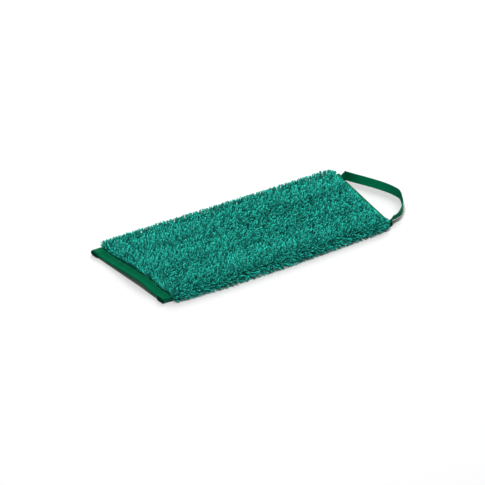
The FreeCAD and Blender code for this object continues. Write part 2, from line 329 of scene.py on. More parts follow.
def yarn_material():
    """Microfibre yarn: painted shade darkens it towards the cloth and a painted highlight lightens the
    loops' tips; its colour varies from loop to loop, and fine filaments run along each ply."""
    m = Nodes("microfibre_yarn", YARN, 0.75, sheen=0.05, sheen_colour=(0.1, 0.9, 0.7))
    height = m.attribute("height").outputs["Fac"]
    shade = m.attribute("shade").outputs["Fac"]
    strand = m.attribute("strand").outputs["Vector"]
    along_ply = m.add("ShaderNodeVectorMath", {0: strand, 1: (9.0, 1.1, 1.0)}, operation="MULTIPLY")
    filament = m.noise(along_ply.outputs[0], 1.0, 3.0)
    # Painted shade from the cloth up to near the tips, and a painted highlight at the tips
    depth = [
        (0.0, YARN_SHADE_TONE),
        (0.6, tone(YARN, 0.05)),
        (0.88, tone(YARN, 0.45)),
        (1.0, tone(YARN, 2.0)),
    ]
    base = m.ramp(height, depth)
    dark = m.mix(1.0, base, (0.12, 0.12, 0.12, 1), "MULTIPLY")
    varied = m.mix(shade, dark, m.mix(0.55, base, (*YARN_LIGHT, 1)))
    strands = m.ramp(filament, [(0.3, tone(YARN_SHADE_TONE, 1.5)), (0.65, YARN_LIGHT)])
    m.colour(m.mix(0.22, varied, strands))
    m.bump(filament, 0.12 * MM, 0.6)
    return m.material


def weave_material(name, colour, rib):
    """A woven tape: crosswise ribs crossed by warp ends, in lighter and darker patches of wear, with
    raised ribs lighter than the hollows between them, and painted shade laid over it where a mesh
    attribute asks for it."""
    m = Nodes(name, colour, 0.85)
    m.set("Specular IOR Level", 0.02)
    place = m.attribute("tape").outputs["Vector"]
    painted_shade = m.attribute("painted_shade").outputs["Fac"]
    parts = m.add("ShaderNodeSeparateXYZ", {0: place})
    along = m.math("SINE", m.math("MULTIPLY", parts.outputs["X"], 2 * math.pi / rib))
    across = m.math("SINE", m.math("MULTIPLY", parts.outputs["Y"], 2 * math.pi / (rib * 1.3)))
    weave = m.math("MULTIPLY", along, across)
    fibre = m.noise(place, 1.4, 4.0)
    height = m.math("ADD", m.math("MULTIPLY", weave, 0.5), m.math("MULTIPLY", fibre, 0.6))
    patches = m.noise(place, 0.12, 3.0)
    worn = m.ramp(patches, [(0.3, tone(colour, 0.8)), (0.7, tone(colour, 1.25))])
    rib_height = m.math("ADD", m.math("MULTIPLY", weave, 0.25), 0.5)
    ribs = m.ramp(rib_height, [(0.2, tone(colour, 0.62)), (0.8, tone(colour, 1.35))])
    unshaded = m.mix(0.5, worn, ribs)
    # Painted shade: the colour is darkened towards 0.3 of itself where the mesh attribute asks for shade
    m.colour(m.mix(painted_shade, unshaded, m.mix(1.0, unshaded, (0.3, 0.3, 0.3, 1), "MULTIPLY")))
    m.bump(height, 0.12 * MM, 0.7)
    return m.material


def cloth_material():
    """The knitted ground of the pile: small stitches in wales."""
    colour = (0.006, 0.13, 0.09)
    m = Nodes("knitted_cloth", colour, 0.85, sheen=0.3, sheen_colour=(0.4, 0.9, 0.7))
    place = m.place()
    wales = m.bands(place, 260.0, 1.5, "Y")
    courses = m.bands(place, 200.0, 1.0, "X")
    knit = m.math("MULTIPLY", wales, courses)
    m.colour(m.ramp(knit, [(0.1, tone(colour, 0.5)), (0.7, tone(colour, 1.5))]))
    m.bump(knit, 0.2 * MM, 0.8)
    return m.material


def velour_material():
    """Pale brushed loop velour, with the nap lying in soft patches."""
    colour = (0.56, 0.58, 0.56)
    m = Nodes("loop_velour", colour, 0.95, sheen=0.5)
    place = m.place()
    loops = m.add("ShaderNodeTexVoronoi", {"Vector": place, "Scale": 900.0}).outputs["Distance"]
    nap = m.noise(place, 45.0, 4.0)
    fuzz = m.noise(place, 1500.0, 3.0)
    tint = m.ramp(nap, [(0.35, tone(colour, 0.84)), (0.65, tone(colour, 1.1))])
    loop_tint = m.ramp(loops, [(0.0, tone(colour, 1.12)), (0.8, tone(colour, 0.78))])
    m.colour(m.mix(0.45, tint, loop_tint))
    m.bump(m.math("ADD", fuzz, m.math("MULTIPLY", loops, -0.8)), 0.25 * MM, 0.7)
    return m.material


def felt_material():
    """Off-white needled felt."""
    colour = (0.74, 0.73, 0.68)
    m = Nodes("needled_felt", colour, 0.95)
    place = m.place()
    fibres = m.noise(place, 700.0, 5.0)
    m.colour(m.ramp(fibres, [(0.3, tone(colour, 0.8)), (0.7, tone(colour, 1.1))]))
    m.bump(fibres, 0.2 * MM, 0.6)
    return m.material


def thread_material():
    """Twisted polyester thread."""
    colour = (0.008, 0.17, 0.095)
    m = Nodes("sewing_thread", colour, 0.45, sheen=0.2)
    m.set("Specular IOR Level", 0.5)
    place = m.attribute("thread").outputs["Vector"]
    parts = m.add("ShaderNodeSeparateXYZ", {0: place})
    ply = m.math("SINE", m.math("ADD", m.math("MULTIPLY", parts.outputs["X"], 9.0), parts.outputs["Y"]))
    ply_height = m.math("ADD", m.math("MULTIPLY", ply, 0.5), 0.5)
    m.colour(m.ramp(ply_height, [(0.1, tone(colour, 0.55)), (0.7, tone(colour, 1.6))]))
    m.bump(ply, 0.05 * MM, 0.7)
    return m.material


YARN_MATERIAL = yarn_material()
BINDING_GREEN = (0.0003, 0.105, 0.045)
# The loop's tape is the same tape as the binding; its green is painted lighter, as painted light on its
# faces, which stand in shade
LOOP_LIT_GREEN = (0.0008, 0.170, 0.078)
BINDING_MATERIAL = weave_material("binding_tape_weave", BINDING_GREEN, 0.55)
LOOP_MATERIAL = weave_material("loop_tape_weave", LOOP_LIT_GREEN, 0.8)
CLOTH_MATERIAL = cloth_material()
VELOUR_MATERIAL = velour_material()
FELT_MATERIAL = felt_material()
THREAD_MATERIAL = thread_material()

# ---------------------------------------------------------------- pile

# How closely the loops of a row stand, and in how many lanes
LOOP_PITCH = 2.5 * MM
LOOP_LANES = 3
LANE_SCATTER = 0.22
# A loop's yarn: two plies round a common line, with rings up each ply and over the tip
PLY_RADIUS = 0.27 * MM
PLY_OFFSET = 0.25 * MM
TWIST_PITCH = 6.0 * MM
RINGS_UP = 7
TIP_RINGS = 3
PLY_SIDES = 5
# How far a loop leans: its usual reach, its longest, and how widely its direction scatters
MEAN_REACH = 4.6 * MM
REACH_EVENNESS = 4.0
LOOP_REACH = 8.0 * MM
LOOP_SCATTER = 0.8
# How much the loops differ in height, and how low a loop droops at a reach of DROOP_REACH
HEIGHT_SCATTER = 0.06
HEIGHT_LIMITS = (0.8, 1.15)
DROOP_REACH = 12 * MM
DROOP = 0.45
# Extra loops close to both bindings, combed out over the one at the loop end
END_REACH = (0.8 * MM, 3.4 * MM)
END_CROWD = 3 * MM
END_LOOPS = 8
END_HEADING = 0.8
START_REACH = 4.6 * MM
START_LOOPS = 9
# The lowest that a loop's middle line and its yarn go
FLOOR_GAP = 0.9 * MM
YARN_FLOOR_GAP = 0.05 * MM
# The share of the half width that the rows take up, inside the side rows
ROWS_SHARE = 1 - 3.6 * MM / ((HALF_LEFT + HALF_RIGHT) / 2)
# How the loops' shades scatter between dark and light, as a beta distribution's two shapes
SHADE_SHAPES = (0.55, 0.75)
# The pile lies in faint lighter and darker streaks along the pad, broad ones and narrow ones: how
# often each repeats over half the width, and how much it changes a loop's shade
STREAKS = ((1.5, 0.11), (4.0, 0.07))


def unit(vectors):
    """The vectors at a length of 1."""
    return vectors / np.maximum(np.linalg.norm(vectors, axis=-1, keepdims=True), 1e-12)


def loop_paths(base, tip, bend):
    """The line of each loop's yarn. It turns round a curved line from the loop's base to its tip,
    goes over the tip and comes down as the second ply. Returns (loop, ring, xyz) points, the
    outward direction at each, and the phase of each loop's twist."""
    count = len(base)
    share = np.linspace(0, 1, RINGS_UP)[None, :, None]
    start, middle, end = base[:, None], bend[:, None], tip[:, None]
    line = start * (1 - share) ** 2 + middle * 2 * share * (1 - share) + end * share ** 2
    slope = unit((middle - start) * (1 - share) + (end - middle) * share)
    reference = unit(RANDOM.normal(size=(count, 1, 3)) + 0.01 * UP)
    side = unit(np.cross(slope, reference))
    other = np.cross(slope, side)
    length = np.linalg.norm(tip - base, axis=1)[:, None]
    turns = length / TWIST_PITCH * RANDOM.uniform(0.85, 1.2, (count, 1))
    phase = RANDOM.uniform(0, 2 * math.pi, (count, 1))
    angle = (phase + 2 * math.pi * turns * share[0, :, 0][None])[..., None]
    spread = PLY_OFFSET * RANDOM.uniform(0.85, 1.35, (count, 1, 1))
    outward = side * np.cos(angle) + other * np.sin(angle)
    up, down = line + outward * spread, (line - outward * spread)[:, ::-1]
    over = np.linspace(0, math.pi, TIP_RINGS + 2)[1:-1][None, :, None]
    tip_out = outward[:, -1:] * np.cos(over) + slope[:, -1:] * np.sin(over)
    cap = line[:, -1:] + tip_out * spread * 1.25
    path = np.concatenate([up, cap, down], 1)
    return path, np.concatenate([outward, tip_out, -outward[:, ::-1]], 1), phase


def twisted_loops(base, tip, bend):
    """The yarn round the loops' paths: (loop, ring, side, xyz) points, with each point's share of
    its loop's height and its place along and round the yarn."""
    path, radial, phase = loop_paths(base, tip, bend)
    count, rings = path.shape[:2]
    forward = unit(np.gradient(path, axis=1))
    radial = unit(radial - forward * (radial * forward).sum(-1, keepdims=True))
    across = np.cross(forward, radial)
    around = np.linspace(0, 2 * math.pi, PLY_SIDES, endpoint=False)
    swell = 1 + 0.1 * np.sin(np.linspace(0, 5, rings))[None, :, None, None]
    radius = PLY_RADIUS * RANDOM.uniform(0.85, 1.12, (count, 1, 1, 1)) * swell
    ring = radial[:, :, None] * np.cos(around)[None, None, :, None]
    ring = ring + across[:, :, None] * np.sin(around)[None, None, :, None]
    points = path[:, :, None] + ring * radius
    rise = np.linspace(0, 1, RINGS_UP)
    rise = np.concatenate([rise, np.ones(TIP_RINGS), rise[::-1]])
    height = np.broadcast_to(rise[None, :, None], points.shape[:3])
    ring_step = np.linalg.norm(tip - base, axis=1).mean() / RINGS_UP / MM
    strand = np.stack([
        np.broadcast_to(around[None, None], points.shape[:3]),
        np.broadcast_to(np.arange(rings)[None, :, None] * ring_step, points.shape[:3]),
        np.broadcast_to(phase[..., None] * 40, points.shape[:3]),
    ], -1)
    return points, height, strand


def loop_shades(base):
    """How light each loop is, from 0 to 1: scattered, and lighter or darker in lengthwise streaks."""
    across = shares_of(base)[1]
    streak = sum(strength * np.cos(2 * math.pi * turns * across) for turns, strength in STREAKS)
    return np.clip(RANDOM.beta(*SHADE_SHAPES, len(base)) + streak, 0, 1)


def loops_object(name, node, base, tip, bend):
    """One piece of yarn loops that stand on the cloth, in place of one CAD row."""
    shades = loop_shades(base)
    base, tip, bend = lie(base), lie(tip), lie(bend)
    for part in (tip, bend):
        part[:, 2] = np.maximum(part[:, 2], FLOOR_GAP)
    points, height, strand = twisted_loops(base, tip, bend)
    points[..., 2] = np.maximum(points[..., 2], YARN_FLOOR_GAP)
    count, rings, sides = points.shape[:3]
    one = tube_faces(rings, sides)
    faces = (one[None] + (np.arange(count) * rings * sides)[:, None, None]).reshape(-1, 4)
    shade = np.repeat(shades, rings * sides)
    values = {"height": height.ravel(), "shade": shade, "strand": strand.reshape(-1, 3)}
    made = new_object(name, points.reshape(-1, 3), faces, YARN_MATERIAL, values=values)
    return placed(made, "pad", "pile", node)


def placed(made, body, slot, *nodes):
    """Rides a finished piece on its body, in place of its CAD nodes."""
    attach(made, body)
    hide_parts(*nodes)
    return made


def stations(count):
    """Loosely even shares of the length for that many loops, between the two bindings."""
    first = BINDING_WIDTH / LENGTH
    spots = (np.arange(count) + RANDOM.uniform(0.05, 0.95, count)) / count
    return first + spots * (1 - 2 * first)


def lean_field(along, across):
    """The direction that the pile leans in, which is towards the loop end, give or take a slow
    change over the pad."""
    turn = 0.5 * np.sin(along * 7.0 + across * 1.3)
    return turn + 0.35 * np.sin(across * 3.1 - along * 3.7 + 1.0)


def end_cover(along):
    """How far the pile is combed out over the binding at the loop end, from 0 to 1."""
    return 1 - smooth((1 - along) * LENGTH - BINDING_WIDTH, 0, 8 * MM)


def start_cover(along):
    """How far the pile spreads back over the binding at the plain end, from 0 to 1."""
    return 1 - smooth(along * LENGTH - BINDING_WIDTH, 0, 5 * MM)


def uneven(count):
    """How tall each loop is beside the usual one."""
    return RANDOM.normal(1.0, HEIGHT_SCATTER, count).clip(*HEIGHT_LIMITS)


def pile_row(number, node):
    """A lengthwise row of loops, leaning mostly towards the loop end, in the room of one CAD row."""
    pitch = 2 * ROWS_SHARE / len(ROW_NODES)
    middle = -ROWS_SHARE + (number + 0.5) * pitch
    count = int((LENGTH - 2 * BINDING_WIDTH) / LOOP_PITCH)
    along = np.concatenate([stations(count) for _ in range(LOOP_LANES)])
    lanes = np.repeat((np.arange(LOOP_LANES) + 0.5) / LOOP_LANES - 0.5, count)
    last = 1 - (BINDING_WIDTH + RANDOM.uniform(0, END_CROWD, END_LOOPS)) / LENGTH
    first = (BINDING_WIDTH + RANDOM.uniform(0, END_CROWD, START_LOOPS)) / LENGTH
    along = np.concatenate([along, last, first])
    lanes = np.concatenate([lanes, RANDOM.uniform(-0.4, 0.4, END_LOOPS + START_LOOPS)])
    count = len(along)
    across = middle + pitch * (lanes + RANDOM.uniform(-LANE_SCATTER, LANE_SCATTER, count))
    base = np.empty((count, 3))
    base[:, :2] = pad_point(along, across)
    base[:, 2] = CLOTH_TOP
    cover = end_cover(along)
    scatter = lean_field(along, across) + RANDOM.normal(0, LOOP_SCATTER, count)
    spread = start_cover(along)
    direction = scatter * (1 - 0.8 * cover) + math.pi * spread
    reach = RANDOM.gamma(REACH_EVENNESS, MEAN_REACH / REACH_EVENNESS, count)
    reach = np.minimum(reach, LOOP_REACH)
    reach += (RANDOM.uniform(*END_REACH, count) - reach) * cover
    reach += (START_REACH * RANDOM.uniform(0, 1, count) - reach) * spread
    rise = PILE_HEIGHT * uneven(count)
    rise *= 1 - spread * RANDOM.uniform(0.05, 0.5, count)
    tip = base.copy()
    tip[:, 0] += np.cos(direction) * reach
    tip[:, 1] += np.sin(direction) * reach
    droop = (reach / DROOP_REACH) ** 2 * (1 - cover)
    tip[:, 2] += rise * (1 - DROOP * droop)
    bend = base + (tip - base) * 0.5
    bend[:, 2] += RANDOM.uniform(0.2, 1.6, count) * MM + rise * 0.5 * droop
    bend[:, :2] += RANDOM.normal(0, 0.6 * MM, (count, 2))
    return loops_object(node + "_loops", node, base, tip, bend)


SIDE_LINES = 12
SIDE_PITCH = 2.2 * MM
# From the top line, which stands on the pad, to the bottom line, which lies out past the edge: how
# far each is from the edge and below the cloth's top, how steeply it rises, and how far it reaches
SIDE_INSETS = (4.2 * MM, 0.6 * MM)
SIDE_DROP = 3.3 * MM
SIDE_SLOPES = (1.42, -0.04)
SLOPE_SCATTER = 0.12
SIDE_REACHES = (9.3 * MM, 6.1 * MM)
SIDE_HEADING = 0.35
HEADING_SCATTER = 0.4
# At the loop end the side loops are a little fuller, and lean out over the corner
END_FULLNESS = 0.12
END_LEAN = 0.55


def side_row(side, node):
    """The loops round a hemmed long side, from standing on the pad's top to lying out near the
    surface, where they reach past the edge."""
    bases, tips, shade_along_tape = [], [], []
    count = int((LENGTH - 2 * BINDING_WIDTH) / SIDE_PITCH)
    for share in np.linspace(0, 1, SIDE_LINES):
        last = 1 - (BINDING_WIDTH + RANDOM.uniform(0, END_CROWD, END_LOOPS)) / LENGTH
        along = np.concatenate([stations(count), last])
        inset = SIDE_INSETS[1] + (SIDE_INSETS[0] - SIDE_INSETS[1]) * (1 - share) ** 2
        base = np.empty((len(along), 3))
        base[:, :2] = pad_point(along, side * inset_share(along, inset))
        base[:, 2] = CLOTH_TOP - SIDE_DROP * share ** 2
        cover = end_cover(along)
        heading = RANDOM.normal(SIDE_HEADING, HEADING_SCATTER, len(along)) + END_HEADING * cover
        slope = np.interp(share, (0, 1), SIDE_SLOPES) + RANDOM.normal(0.0, SLOPE_SCATTER, len(along))
        slope *= 1 - END_LEAN * cover
        reach = np.interp(share, (0, 1), SIDE_REACHES) * uneven(len(along))
        reach *= 1 + END_FULLNESS * smooth(along, 0.82, 0.96) * (1 - share)
        tip = base.copy()
        tip[:, 0] += np.sin(heading) * np.cos(slope) * reach
        tip[:, 1] += side * np.cos(heading) * np.cos(slope) * reach
        tip[:, 2] += np.sin(slope) * reach
        bend = base + (tip - base) * 0.5
        bend[:, 2] += RANDOM.uniform(0.2, 1.4, len(along)) * MM
        bases.append(base)
        tips.append(tip)
        shade_along_tape.append(bend)
    lines = [np.concatenate(part) for part in (bases, tips, shade_along_tape)]
    return loops_object(node + "_loops", node, *lines)


# ---------------------------------------------------------------- cloth layers

# Where the layers' sections are taken along the pad, and how many points cross it
END_ZONE = 24 * MM
END_STEP = 1.0 * MM
MIDDLE_STEPS = 60
CLOTH_STEPS = 61
SLAB_STEPS = 71
# The cloth's fold at a long side, how far the hem draws in inside a binding, and how far from the
# side the flat runs above and below it end
FOLD_RADIUS = 1.2 * MM
HEM_DRAW_IN = 2.6 * MM
OUTER_INSET = 3 * MM
LINING_INSET = 2 * MM
WALL_STEPS = 10
# The velour's face, its roughness, and how gradually it dips into the bindings
VELOUR_FACE = 0.35 * MM
VELOUR_FUZZ = 0.05 * MM
VELOUR_DIP = 7 * MM
VELOUR_GAP = 0.5 * MM


def layer_stations():
    """Distances along the pad where the layers' sections are taken, closest near both ends."""
    near = np.arange(TAPE, END_ZONE, END_STEP)
    middle = np.linspace(END_ZONE, LENGTH - END_ZONE, MIDDLE_STEPS)
    return np.concatenate([near, middle, (LENGTH - near)[::-1]])


def in_binding(distance, fade=1.5 * MM):
    """1 where a section lies inside one of the bindings, 0 past their inner edges."""
    inset = np.minimum(distance, LENGTH - distance)
    return 1 - smooth(inset, BINDING_WIDTH - 0.3 * MM, BINDING_WIDTH + fade)


def layer(name, profile, material, fuzz=0.0):
    """A closed layer along the pad. The profile's points are (side, inset from that long side,
    height), where the inset and the height may vary along the pad."""
    distance = layer_stations()
    sections = np.empty((len(distance), len(profile), 3))
    share = distance / LENGTH
    for number, (side, inset, z) in enumerate(profile):
        across = side * inset_share(share, inset)
        sections[:, number, :2] = pad_point(share, across)
        sections[:, number, 2] = z
    if fuzz:
        sections[..., 2] += RANDOM.normal(0, fuzz, sections.shape[:2])
    vertices, faces = sweep(lie(sections))
    return new_object(name, vertices, faces, material)


def across_run(inset, z, steps, start=FRONT):
    """Profile points from one side of the pad to the other, at one inset and height. They meet at
    the pad's centre line, so their insets follow its half width along the pad."""
    middle = HALF_LEFT + (HALF_RIGHT - HALF_LEFT) * layer_stations() / LENGTH
    made = []
    for share in np.linspace(-1, 1, steps):
        side = start if share <= 0 else -start
        made.append((side, middle - (middle - inset) * abs(share), z))
    return made


def side_wrap(side, outer, bottom, top):
    """Profile points round a long side's fold, from its top to its bottom."""
    r = FOLD_RADIUS
    turns = np.linspace(0, math.pi / 2, 5)
    upper = [(side, outer + r * (1 - math.sin(t)), top - r * (1 - math.cos(t))) for t in turns]
    lower = [(side, outer + r * (1 - math.cos(t)), bottom + r * (1 - math.sin(t))) for t in turns]
    return upper + lower


def ground_cloth():
    """The knitted cloth: a top sheet that wraps both long sides and is turned under them."""
    inner = TAPE + CLOTH
    inside = in_binding(layer_stations())
    bottom = HEM_BOTTOM + TAPE * inside
    hem = HEM_WIDTH - HEM_DRAW_IN * inside
    shares = (0.4, 0.7, 1.0)
    heights = np.linspace(HEM_TOP, CORE_TOP, WALL_STEPS)

    def hem_run(side, z):
        return [(side, TAPE + (hem - TAPE) * share, z) for share in shares]

    def wall(side):
        return [(side, inner, z) for z in heights]

    top_run = across_run(TAPE + OUTER_INSET, CLOTH_TOP, CLOTH_STEPS)
    lining = across_run(inner + LINING_INSET, CORE_TOP, CLOTH_STEPS, BACK)
    outside = hem_run(FRONT, bottom)[::-1] + side_wrap(FRONT, TAPE, bottom, CLOTH_TOP)[::-1]
    outside += top_run + side_wrap(BACK, TAPE, bottom, CLOTH_TOP) + hem_run(BACK, bottom)
    inside_line = hem_run(BACK, HEM_TOP)[::-1] + wall(BACK) + lining
    inside_line += wall(FRONT)[::-1] + hem_run(FRONT, HEM_TOP)
    made = layer("ground_cloth_sheet", outside + inside_line, CLOTH_MATERIAL)
    placed(made, "pad", "ground_cloth", "ground_cloth")
    return made


def slab_layer(name, bottom, top, inset, material, fuzz=0.0):
    """A flat layer from side to side; its underside may rise along the pad."""
    profile = across_run(inset, bottom, SLAB_STEPS) + across_run(inset, top, SLAB_STEPS, BACK)
    return layer(name, profile, material, fuzz)


def backing_velour():
    """The velour backing: its face stands down between the hems, and dips into the bindings."""
    inside = in_binding(layer_stations(), VELOUR_DIP)
    bottom = VELOUR_FACE + (HEM_BOTTOM + THIN_RISE + TAPE - VELOUR_FACE) * inside
    inset = HEM_WIDTH + VELOUR_GAP
    made = slab_layer("backing_velour_sheet", bottom, CORE_BOTTOM, inset, VELOUR_MATERIAL, VELOUR_FUZZ)
    placed(made, "pad", "backing_velour", "backing_velour")
    return made


def absorbent_core():
    """The felt between the backing and the cloth."""
    made = slab_layer("absorbent_core_felt", CORE_BOTTOM, CORE_TOP, TAPE + CLOTH, FELT_MATERIAL)
    placed(made, "pad", "absorbent_core", "absorbent_core")
    return made


# ---------------------------------------------------------------- binding

BINDING_STEPS = 180
FOLD_DEPTH = 1.5 * MM
FLANGE_STEPS = 10
FOLD_STEPS = 11


def binding_profile(reach, inward):
    """One side of the folded tape's outline, as (inset from the end, level from 0 at its underside
    to 1 at its top, offset in height): the upper flange, the fold and the lower flange."""
    flange = np.linspace(reach, FOLD_DEPTH, FLANGE_STEPS)
    upper = [(inset, 1.0, -inward) for inset in flange]
    depth = FOLD_DEPTH - inward
    fold = []
    for angle in np.linspace(0, math.pi, FOLD_STEPS)[1:-1]:
        level = 0.5 + 0.5 * math.cos(angle)
        fold.append((FOLD_DEPTH - depth * math.sin(angle), level, -inward * math.cos(angle)))
    lower = [(inset, 0.0, inward) for inset in flange[::-1]]
    return upper + fold + lower


def binding(end, node):
    """A tape folded over one end, thick over the hems at its corners and thin between them. The
    corners bulge out a little. Painted shade darkens the fold: at the plain end only at the corners, at
    the loop end all along."""
    across = np.linspace(-1, 1, BINDING_STEPS)
    block = hem_block(across, end)
    low, high = flange_levels(across, end)
    profile = binding_profile(BINDING_WIDTH, 0.0) + binding_profile(BINDING_WIDTH, TAPE)[::-1]
    half = HALF_LEFT if end == LEFT else HALF_RIGHT
    sections = np.empty((BINDING_STEPS, len(profile), 3))
    tape = np.zeros((BINDING_STEPS, len(profile), 3))
    painted_shade = np.zeros((BINDING_STEPS, len(profile)))
    for number, (inset, level, offset) in enumerate(profile):
        folded = 1 - smooth(inset, 0.5 * FOLD_DEPTH, FOLD_DEPTH)
        share = (inset - BLOCK_OUT * block * folded) / LENGTH
        along = share if end == LEFT else 1 - share
        # Painted shade on the fold, standing for the shade on the end faces: over the corner blocks at
        # the plain end, all along the loop end
        painted_shade[:, number] = (block if end == LEFT else 1.0) * folded
        sections[:, number, :2] = pad_point(along, across)
        sections[:, number, 2] = low + (high - low) * level + offset
        tape[:, number, 0] = across * half / MM
        tape[:, number, 1] = (inset + level * 2 * BINDING_WIDTH) / MM
    vertices, faces = sweep(lie(sections))
    values = {"tape": tape.reshape(-1, 3), "painted_shade": painted_shade.ravel()}
    made = new_object(node + "_tape", vertices, faces, BINDING_MATERIAL, values=values)
    placed(made, "pad", "binding_tape", node)
    return made


# ---------------------------------------------------------------- stitches


THREAD_RADIUS = 0.26 * MM
THREAD_SUNK = 0.45
STITCH_RINGS = 9
STITCH_SIDES = 6


def stitches(name, centres, directions, normals, length, body, *nodes):
    """Short runs of thread that dip into the cloth at both ends."""
    count = len(centres)
    share = np.linspace(-1, 1, STITCH_RINGS)
    height = (np.cos(share * math.pi / 2) ** 0.7 - THREAD_SUNK) * THREAD_RADIUS
    side = unit(np.cross(normals, directions))
    line = centres[:, None] + directions[:, None] * (share * length / 2)[None, :, None]
    line = line + normals[:, None] * height[None, :, None]
    around = np.linspace(0, 2 * math.pi, STITCH_SIDES, endpoint=False)
    ring = side[:, None, None] * np.cos(around)[None, None, :, None]
    ring = ring + normals[:, None, None] * np.sin(around)[None, None, :, None]
    thin = (1 - 0.45 * np.abs(share) ** 4)[None, :, None, None]
    points = line[:, :, None] + ring * THREAD_RADIUS * thin
    one = sweep(points[0])[1]
    size = STITCH_RINGS * STITCH_SIDES
    faces = (one[None] + (np.arange(count) * size)[:, None, None]).reshape(-1, 4)
    thread = np.stack([
        np.broadcast_to((share * length / 2 / MM)[None, :, None], points.shape[:3]),
        np.broadcast_to(around[None, None], points.shape[:3]),
        np.broadcast_to(np.arange(count)[:, None, None], points.shape[:3]),
    ], -1)
    values = {"thread": thread.reshape(-1, 3)}
    made = new_object(name, points.reshape(-1, 3), faces, THREAD_MATERIAL, values=values)
    return placed(made, body, "thread", *nodes)


def separate_solids(node):
    """The points of each separate solid in a node, found by joining faces that share a corner."""
    points = np.round(node_points(node), 7)
    same = np.unique(points, axis=0, return_inverse=True)[1].ravel()
    label = np.arange(same.max() + 1)

    def root(index):
        while label[index] != index:
            label[index] = label[label[index]]
            index = label[index]
        return index

    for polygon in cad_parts[node].data.polygons:
        first, *others = [root(same[index]) for index in polygon.vertices]
        for other in others:
            label[root(other)] = root(first)
    groups = {}
    for index, merged in enumerate(same):
        groups.setdefault(root(merged), set()).add(tuple(points[index]))
    return [np.array(sorted(group)) for group in groups.values()]


def seam(node, end=None):
    """Thread in place of a CAD seam: one stitch for each of its bars, on the cloth's surface."""
    bars = separate_solids(node)
    centres = np.array([points.mean(0) for points in bars])
    axes = [np.linalg.svd(points - points.mean(0))[2] for points in bars]
    directions = np.array([axis[0] for axis in axes])
    length = np.mean([np.ptp(points @ axis[0]) for points, axis in zip(bars, axes)])
    upper = centres[:, 2] > CORE_BOTTOM
    if end is None:
        centres[:, 2] = HEM_BOTTOM
    else:
        low, high = flange_levels(shares_of(centres)[1], end)
        centres[:, 2] = np.where(upper, high, low)
    normals = np.where(upper[:, None], 1.0, -1.0) * UP
    return stitches(node + "_thread", lie(centres), directions, normals, length, "pad", node)


# ---------------------------------------------------------------- pull loop

# The tape's width and thickness, the step between its sections, its gap above the floor, and how much of
# the tape at its roots twists up onto its edge
LOOP_WIDTH = 12 * MM
LOOP_THICKNESS = 1.0 * MM
LOOP_STEP = 1.0 * MM
LOOP_FLOOR_GAP = 0.25 * MM
LOOP_TWIST_RUN = 4.5 * MM
# On its way back to the front corner the standing tape leans outwards, at most by this much
FRONT_LEAN = math.radians(32)
FRONT_LEAN_RUN = 30 * MM
# Where the middle of the tape passes on its way round, as shares of the CAD loop's box in X and Y
LOOP_WAYPOINTS = (
    (0.25924, 0.94281), (0.33382, 0.90382), (0.42640, 0.84860), (0.54469, 0.78362),
    (0.65527, 0.71946), (0.77100, 0.64880), (0.87386, 0.57896), (0.95615, 0.50667),
    (1.00759, 0.44089), (1.02816, 0.39297), (0.99216, 0.34018), (0.89444, 0.27195),
    (0.74528, 0.18099), (0.53955, 0.11115), (0.29268, 0.06242), (0.12295, 0.04780),
)
# How far from the tape's end in each corner it starts to leave its straight tab, and the tab's tip
TAB_STRAIGHT = 6 * MM
TAB_TIP = 1 * MM
# The seam along the tape
LOOP_STITCH_MARGIN = 14 * MM
LOOP_STITCH_PITCH = 3.6 * MM
LOOP_STITCH_LENGTH = 2.6 * MM
LOOP_SEAM_OFFSET = 3.5 * MM
LOOP_SEAM_HEIGHT = 0.42


def curve_through(points, step):
    """A smooth line through the points, as even steps of (points, directions)."""
    points = np.array(points, float)
    before = np.vstack([2 * points[0] - points[1], points, 2 * points[-1] - points[-2]])
    dense = []
    for number in range(len(points) - 1):
        a, b, c, d = before[number:number + 4]
        t = np.linspace(0, 1, 24, endpoint=False)[:, None]
        dense.append(0.5 * (2 * b + (c - a) * t + (2 * a - 5 * b + 4 * c - d) * t ** 2
                            + (3 * b - a - 3 * c + d) * t ** 3))
    dense = np.vstack(dense + [points[-1:]])
    travelled = np.concatenate([[0], np.cumsum(np.linalg.norm(np.diff(dense, axis=0), axis=1))])
    even = np.linspace(0, travelled[-1], int(travelled[-1] / step) + 1)
    line = np.stack([np.interp(even, travelled, dense[:, axis]) for axis in range(2)], -1)
    return even, line, unit(np.gradient(line, axis=0))


def loop_frames():
    """Distances, centres, the tape's wide and thin directions, and the distance past each root."""
    tabs = {BACK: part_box("loop_root_back"), FRONT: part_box("loop_root_front")}
    low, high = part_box("pull_loop")
    way = [(low.x + (high.x - low.x) * x, low.y + (high.y - low.y) * y) for x, y in LOOP_WAYPOINTS]
    ends = {}
    for side, (tab_low, tab_high) in tabs.items():
        y = (tab_low.y + tab_high.y) / 2
        ends[side] = [(tab_low.x, y), (tab_high.x - TAB_STRAIGHT, y), (tab_high.x + TAB_TIP, y)]
    points = ends[BACK] + way + ends[FRONT][::-1]
    distance, line, along = curve_through(points, LOOP_STEP)
    tab = {side: box[1].x - box[0].x for side, box in tabs.items()}
    past = np.minimum(distance - tab[BACK], distance[-1] - tab[FRONT] - distance)
    first_half = distance < distance[-1] / 2
    front_lean = FRONT_LEAN * (1 - smooth(past, LOOP_TWIST_RUN, FRONT_LEAN_RUN))
    lean = np.where(first_half, 0.0, front_lean)
    turn = (math.pi / 2 - lean) * smooth(past, 0, LOOP_TWIST_RUN)
    flat_z = HEM_BOTTOM + LOOP_THICKNESS / 2
    rise = LOOP_FLOOR_GAP + LOOP_WIDTH / 2 * np.sin(turn) + (flat_z - LOOP_FLOOR_GAP) * np.cos(turn)
    centres = np.column_stack([line, rise])
    along = np.column_stack([along, np.zeros(len(along))])
    outward = np.cross(UP, along)
    wide = outward * np.cos(turn)[:, None] + UP * np.sin(turn)[:, None]
    return distance, centres, wide, np.cross(along, wide), past


